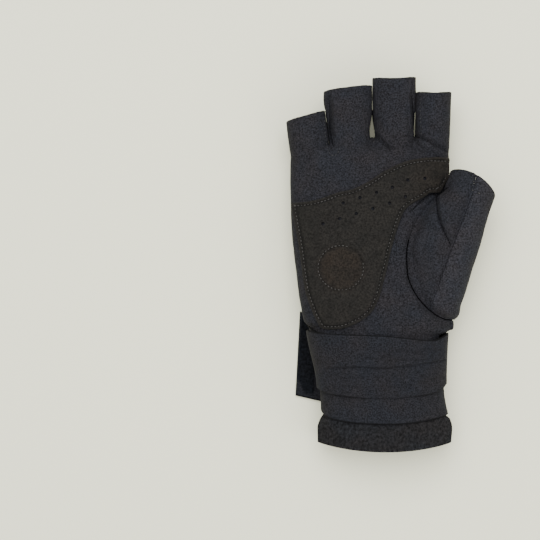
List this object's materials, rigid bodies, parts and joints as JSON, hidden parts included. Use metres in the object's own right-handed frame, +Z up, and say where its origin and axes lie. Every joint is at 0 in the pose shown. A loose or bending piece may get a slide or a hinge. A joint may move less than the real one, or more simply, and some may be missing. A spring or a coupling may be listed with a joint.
{
  "type": "weightlifting glove",
  "caption": "Right-hand open-finger training glove with a suede palm patch, half-length stalls, finger pull tabs, a knit cuff and a long wrist wrap, lying palm up.",
  "frame": {"origin": "centre of the glove's box at the floor it lies on", "axes": "+Y to the fingers, +X to the thumb, +Z up out of the palm"},
  "size_m": [0.1202, 0.2162, 0.0381],
  "materials": {
    "cloth": "matte fine stretch weave, blue-black",
    "suede": "napped, warm brown-black",
    "knit": "ribbed knit, black",
    "netting": "fine open knit, black",
    "elastic": "matte woven elastic, blue-black",
    "tape": "herringbone twill tape, black",
    "hook": "black hook tape"
  },
  "bodies": {
    "root": {"palm_panel": "cloth", "back_panel": "cloth", "lower_back_panel": "cloth", "back_netting": "netting", "fourchette_little_ring": "cloth", "fourchette_ring_middle": "cloth", "fourchette_middle_index": "cloth", "thumb_inner_panel": "cloth", "thumb_outer_panel": "cloth", "palm_patch": "suede", "pull_tab_ring": "tape", "pull_tab_middle": "tape", "knit_cuff": "knit", "wrist_wrap": "elastic", "hook_pad": "hook"}
  },
  "joints": []
}
